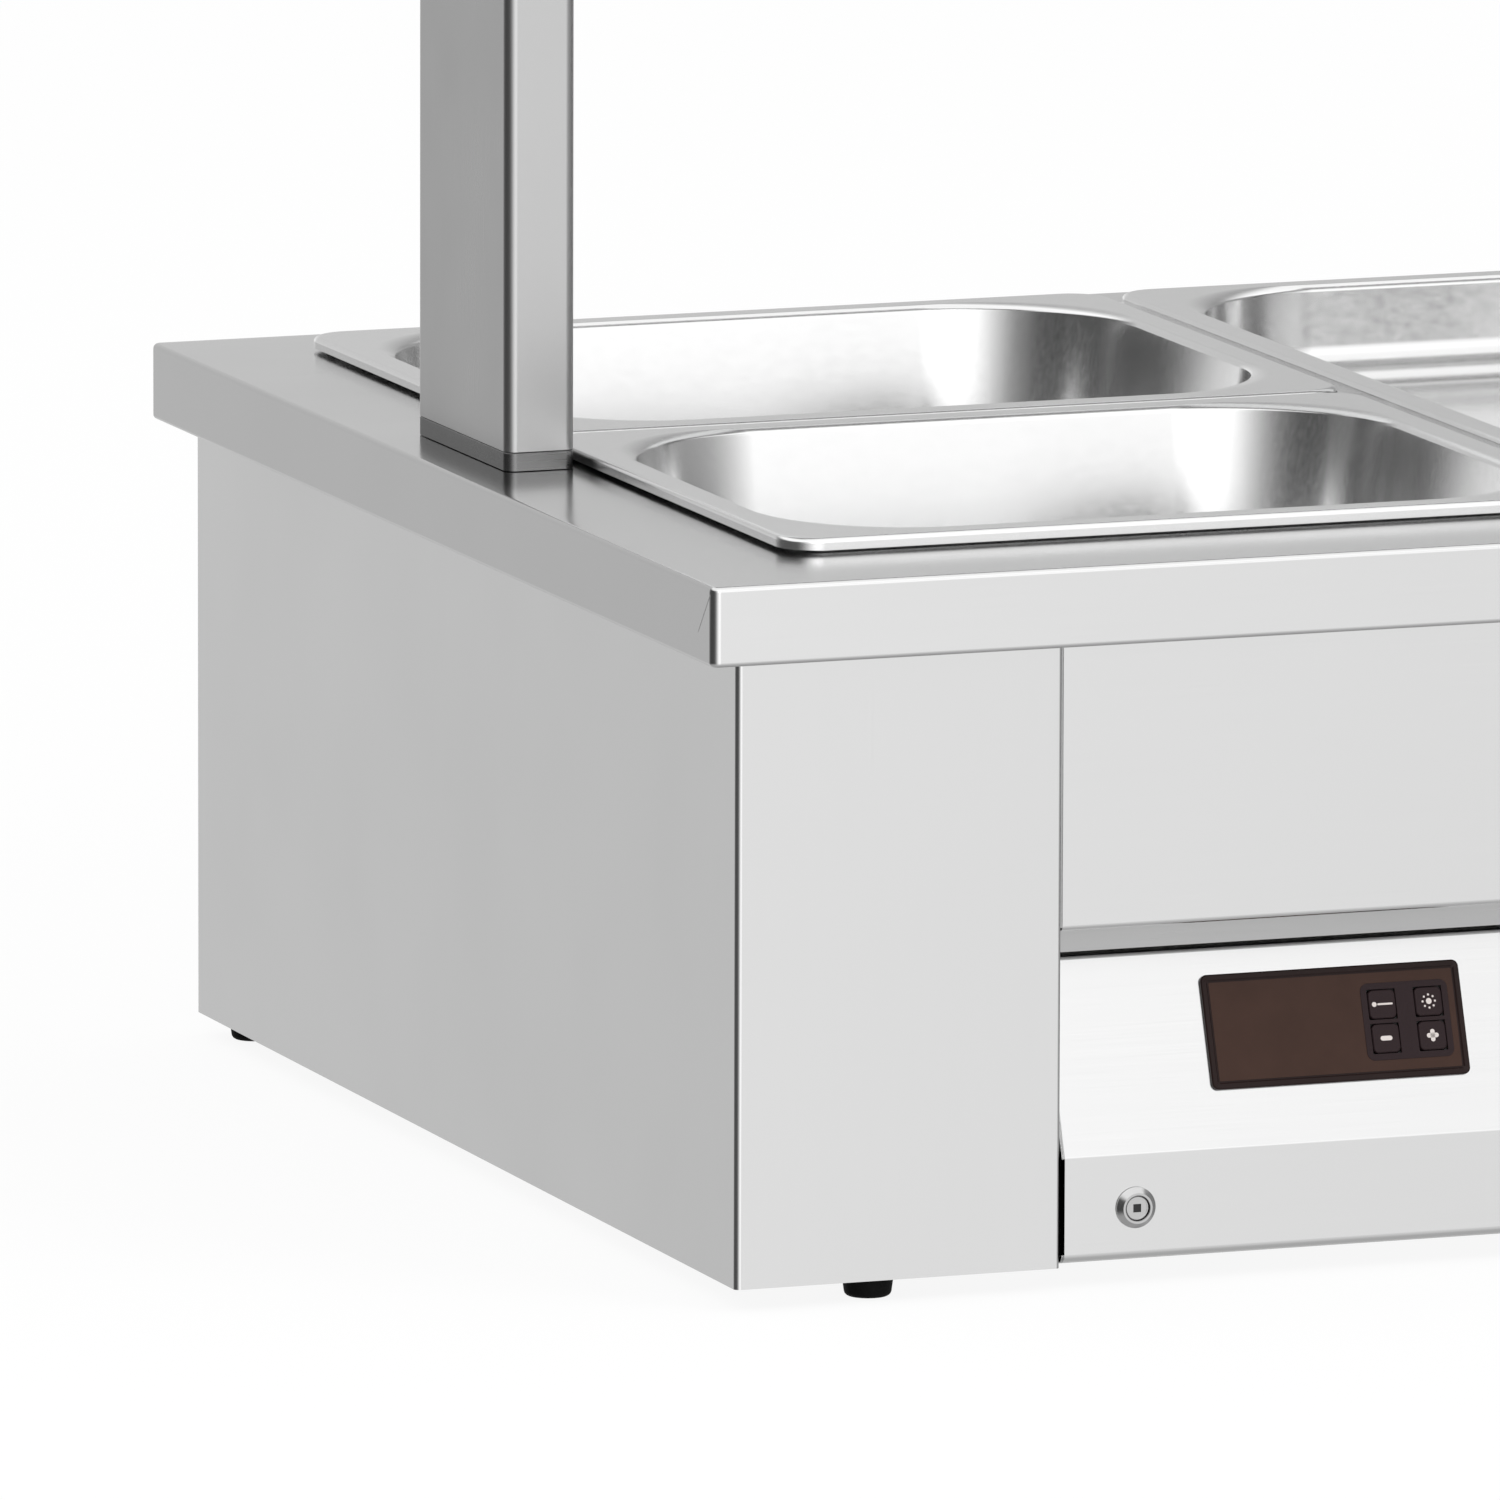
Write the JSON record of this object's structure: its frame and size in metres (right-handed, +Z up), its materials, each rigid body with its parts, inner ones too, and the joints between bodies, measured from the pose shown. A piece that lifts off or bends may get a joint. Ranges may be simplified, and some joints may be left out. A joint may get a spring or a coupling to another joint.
{
  "type": "countertop bain-marie",
  "caption": "Countertop bain-marie: stainless well with gastronorm pans, hinged sloped control flap, and an overhead heat-lamp gantry with a glass guard.",
  "frame": {"origin": "middle of the bounding box in plan, on the surface the feet stand on", "axes": "+X to the operator's right, +Y to the rear (customers' side), +Z up"},
  "size_m": [1.078, 0.6504, 0.677],
  "materials": {
    "satin_steel": "satin stainless sheet",
    "drawn_steel": "polished deep-drawn stainless",
    "tank_steel": "plain rolled stainless",
    "turned_steel": "turned and polished",
    "reflector": "polished",
    "collar": "dark satin",
    "foot_rubber": "moulded, matte",
    "black_plastic": "moulded, fine grain",
    "controller_front": "smoked brown acrylic",
    "key_plastic": "glossy dark membrane",
    "terminal_plastic": "moulded polyamide",
    "mineral_wool": "pressed fibre",
    "nickel_brass": "nickel plated",
    "lever_vinyl": "dipped vinyl",
    "steatite": "fired ceramic",
    "quartz": "clear quartz",
    "guard_glass": "tempered, polished edge"
  },
  "bodies": {
    "cabinet": {"worktop": "satin_steel", "left_end_casing": "satin_steel", "right_end_casing": "satin_steel", "rear_panel": "satin_steel", "base_tray": "satin_steel", "front_panel": "satin_steel", "front_left_foot": "foot_rubber", "front_right_foot": "foot_rubber", "rear_left_foot": "foot_rubber", "rear_right_foot": "foot_rubber", "well_tank": "tank_steel", "heat_shield": "tank_steel", "insulation_mat": "mineral_wool", "heating_element_1": "turned_steel", "heating_element_2": "turned_steel", "heating_element_3": "turned_steel", "left_column_bar": "satin_steel", "right_column_bar": "satin_steel", "left_row_bar": "satin_steel", "right_row_bar": "satin_steel", "temperature_probe": "turned_steel", "safety_thermostat": "black_plastic", "drain_pipe": "turned_steel", "drain_tap": "nickel_brass", "cable_gland": "black_plastic", "power_relay": "terminal_plastic", "terminal_block": "terminal_plastic", "left_hinge_stud": "turned_steel", "right_hinge_stud": "turned_steel", "left_post_collar": "collar", "right_post_collar": "collar", "left_post": "satin_steel", "right_post": "satin_steel", "canopy": "satin_steel", "lamp_tray": "reflector", "heat_lamp": "quartz", "left_lamp_holder": "steatite", "right_lamp_holder": "steatite", "guard_glass": "guard_glass", "left_glass_clamp": "turned_steel", "right_glass_clamp": "turned_steel"},
    "flap": {"control_flap": "satin_steel", "controller_glass": "controller_front", "controller_case": "black_plastic", "light_switch_housing": "black_plastic", "left_lock_housing": "turned_steel", "right_lock_housing": "turned_steel"},
    "left_lock": {"left_lock_rotor": "turned_steel"},
    "right_lock": {"right_lock_rotor": "turned_steel"},
    "power_key": {"key_power": "key_plastic"},
    "light_key": {"key_light": "key_plastic"},
    "down_key": {"key_down": "key_plastic"},
    "up_key": {"key_up": "key_plastic"},
    "light_rocker": {"light_switch_rocker": "black_plastic"},
    "tap_lever": {"drain_lever": "lever_vinyl"},
    "pan_front_left": {"front_left_pan": "drawn_steel"},
    "pan_front_right": {"front_right_pan": "drawn_steel"},
    "pan_rear_left": {"rear_left_pan": "drawn_steel"},
    "pan_rear_right": {"rear_right_pan": "drawn_steel"},
    "pan_middle": {"middle_pan": "drawn_steel"}
  },
  "joints": [
    {"name": "flap_hinge", "type": "hinge", "parent": "cabinet", "child": "flap", "pos_m": [0, -0.28215, 0.1115], "axis": [-1, 0, 0], "range_deg": [0, 65]},
    {"name": "left_lock_turn", "type": "hinge", "parent": "flap", "child": "left_lock", "pos_m": [-0.372, -0.31265, 0.029], "axis": [0, 1, 0], "range_deg": [0, 90]},
    {"name": "right_lock_turn", "type": "hinge", "parent": "flap", "child": "right_lock", "pos_m": [0.372, -0.31265, 0.029], "axis": [0, -1, 0], "range_deg": [0, 90]},
    {"name": "power_key_press", "type": "slide", "parent": "flap", "child": "power_key", "axis": [0, 0.9424, -0.3346], "range_m": [0, 0.0005], "stiffness_N_per_m": 400, "springref_m": -0.001},
    {"name": "light_key_press", "type": "slide", "parent": "flap", "child": "light_key", "axis": [0, 0.9424, -0.3346], "range_m": [0, 0.0005], "stiffness_N_per_m": 400, "springref_m": -0.001},
    {"name": "down_key_press", "type": "slide", "parent": "flap", "child": "down_key", "axis": [0, 0.9424, -0.3346], "range_m": [0, 0.0005], "stiffness_N_per_m": 400, "springref_m": -0.001},
    {"name": "up_key_press", "type": "slide", "parent": "flap", "child": "up_key", "axis": [0, 0.9424, -0.3346], "range_m": [0, 0.0005], "stiffness_N_per_m": 400, "springref_m": -0.001},
    {"name": "light_rocker_tilt", "type": "hinge", "parent": "flap", "child": "light_rocker", "pos_m": [0.306, -0.2986, 0.08808], "axis": [1, 0, 0], "range_deg": [0, 16]},
    {"name": "tap_lever_turn", "type": "hinge", "parent": "cabinet", "child": "tap_lever", "pos_m": [0.164, 0.29815, 0.0663], "axis": [0, 0, 1], "range_deg": [0, 90]},
    {"name": "front_left_pan_lift", "type": "slide", "parent": "cabinet", "child": "pan_front_left", "axis": [0, 0, 1], "range_m": [0, 0.13]},
    {"name": "front_right_pan_lift", "type": "slide", "parent": "cabinet", "child": "pan_front_right", "axis": [0, 0, 1], "range_m": [0, 0.13]},
    {"name": "rear_left_pan_lift", "type": "slide", "parent": "cabinet", "child": "pan_rear_left", "axis": [0, 0, 1], "range_m": [0, 0.13]},
    {"name": "rear_right_pan_lift", "type": "slide", "parent": "cabinet", "child": "pan_rear_right", "axis": [0, 0, 1], "range_m": [0, 0.13]},
    {"name": "middle_pan_lift", "type": "slide", "parent": "cabinet", "child": "pan_middle", "axis": [0, 0, 1], "range_m": [0, 0.13]}
  ]
}
